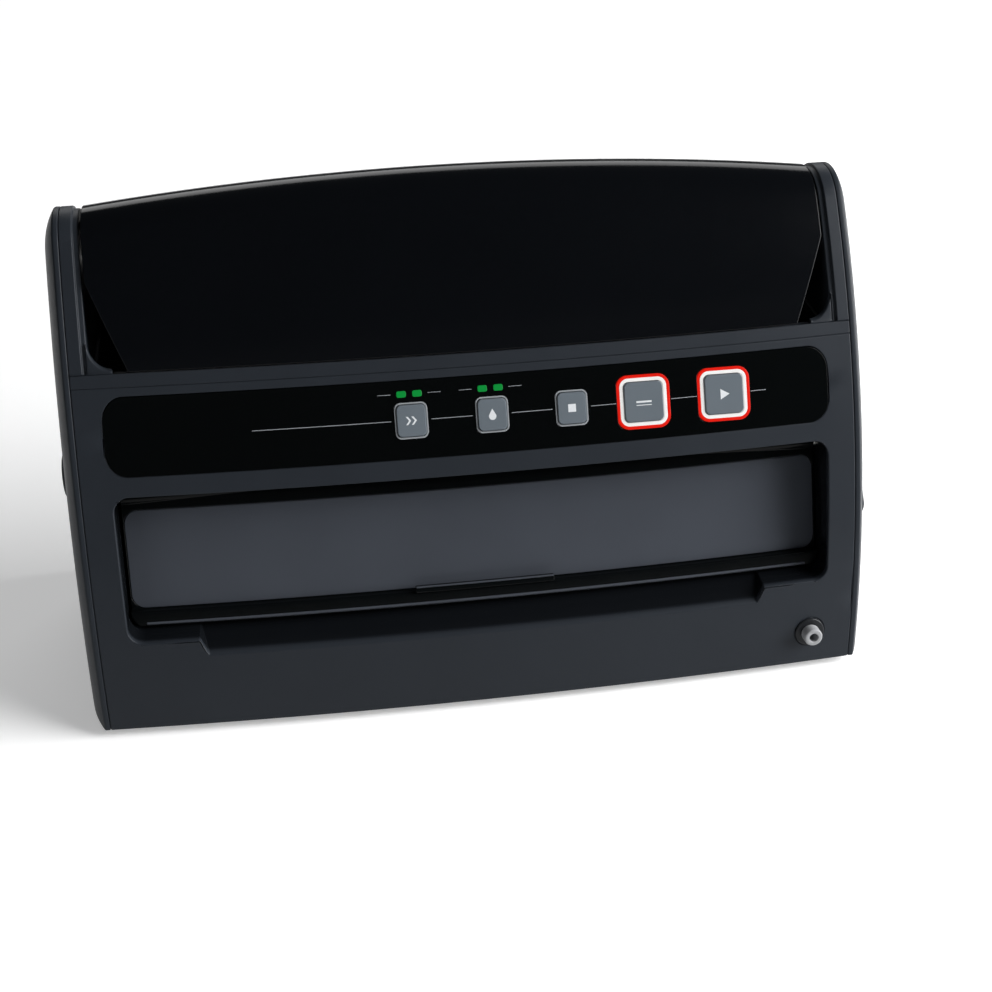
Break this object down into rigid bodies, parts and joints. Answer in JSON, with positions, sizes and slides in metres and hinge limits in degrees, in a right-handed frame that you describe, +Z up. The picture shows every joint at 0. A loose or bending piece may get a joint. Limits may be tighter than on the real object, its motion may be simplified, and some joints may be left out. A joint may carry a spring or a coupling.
{
  "type": "vacuum sealer",
  "caption": "Upright kitchen vacuum sealer with a bag door, a latch lever, push buttons on a gloss panel, a hose port and a hinged lid over a roll bay.",
  "frame": {"origin": "on the counter, under the middle of the overall box", "axes": "+X to the right seen from the front, -Y out of the front, +Z up"},
  "size_m": [0.4544, 0.1693, 0.2642],
  "materials": {
    "charcoal_plastic": "satin moulded",
    "black_gloss": "polished",
    "door_grey": "satin",
    "button_grey": "satin",
    "pale_grey": "satin",
    "lit_white": "translucent, lit",
    "lit_red": "translucent, lit",
    "lit_green": "translucent, lit",
    "rubber": "matt",
    "foam_rubber": "matt",
    "steel": "plain",
    "aluminium": "plain",
    "glass_tape": "woven",
    "board_green": "solder mask",
    "copper": "enamelled wire",
    "clear_tube": "translucent"
  },
  "bodies": {
    "housing": {"base_plate": "charcoal_plastic", "rubber_feet": "rubber", "base_screws": "steel", "front_housing": "charcoal_plastic", "upper_housing": "charcoal_plastic", "rear_cover": "charcoal_plastic", "rear_screws": "steel", "left_side_cover": "charcoal_plastic", "right_side_cover": "charcoal_plastic", "roll_trough": "charcoal_plastic", "control_panel": "black_gloss", "button_borders": "pale_grey", "white_light_rings": "lit_white", "red_light_rings": "lit_red", "indicator_lenses": "lit_green", "control_board": "board_green", "tact_switches": "black_gloss", "vacuum_chamber": "charcoal_plastic", "lower_gasket": "foam_rubber", "heater_bar": "aluminium", "heater_tape": "glass_tape", "drip_tray": "black_gloss", "latch_bearings": "charcoal_plastic", "door_switch": "black_gloss", "port_seat": "pale_grey", "port_nozzle": "pale_grey", "port_tube": "clear_tube", "vacuum_tube": "clear_tube", "pump_bracket": "charcoal_plastic", "pump_motor": "steel", "pump_head": "black_gloss", "transformer_core": "steel", "transformer_coil": "copper", "cord_gland": "rubber"},
    "door": {"door_frame": "black_gloss", "door_panel": "door_grey", "door_grip": "door_grey", "door_hinge_pins": "steel", "upper_gasket": "foam_rubber", "pressure_strip": "rubber", "door_catches": "steel", "striker_pins": "steel"},
    "lid": {"storage_lid": "black_gloss", "lid_hinge_pins": "steel"},
    "latch": {"latch_shaft": "steel", "latch_hooks": "steel", "latch_lever": "charcoal_plastic", "latch_cap": "charcoal_plastic"},
    "rotor": {"motor_rotor": "steel"},
    "speed_key": {"speed_button": "button_grey"},
    "food_key": {"food_button": "button_grey"},
    "cancel_key": {"cancel_button": "button_grey"},
    "seal_key": {"seal_button": "button_grey"},
    "start_key": {"start_button": "button_grey"}
  },
  "joints": [
    {"name": "door_hinge", "type": "hinge", "parent": "housing", "child": "door", "pos_m": [0, -0.02081, 0.12002], "axis": [-1, 0, 0], "range_deg": [0, 70]},
    {"name": "lid_hinge", "type": "hinge", "parent": "housing", "child": "lid", "pos_m": [0, 0.0752, 0.236], "axis": [-1, 0, 0], "range_deg": [0, 85]},
    {"name": "latch_turn", "type": "hinge", "parent": "housing", "child": "latch", "pos_m": [0, 0.0162, 0.114], "axis": [-1, 0, 0], "range_deg": [0, 55]},
    {"name": "motor_spin", "type": "hinge", "parent": "housing", "child": "rotor", "pos_m": [0, 0.0402, 0.046], "axis": [1, 0, 0], "continuous": true},
    {"name": "speed_press", "type": "slide", "parent": "housing", "child": "speed_key", "axis": [0, 0.8794, -0.476], "range_m": [0, 0.001], "stiffness_N_per_m": 1500},
    {"name": "food_press", "type": "slide", "parent": "housing", "child": "food_key", "axis": [0, 0.8794, -0.476], "range_m": [0, 0.001], "stiffness_N_per_m": 1500},
    {"name": "cancel_press", "type": "slide", "parent": "housing", "child": "cancel_key", "axis": [0, 0.8794, -0.476], "range_m": [0, 0.001], "stiffness_N_per_m": 1500},
    {"name": "seal_press", "type": "slide", "parent": "housing", "child": "seal_key", "axis": [0, 0.8794, -0.476], "range_m": [0, 0.001], "stiffness_N_per_m": 1500},
    {"name": "start_press", "type": "slide", "parent": "housing", "child": "start_key", "axis": [0, 0.8794, -0.476], "range_m": [0, 0.001], "stiffness_N_per_m": 1500}
  ]
}
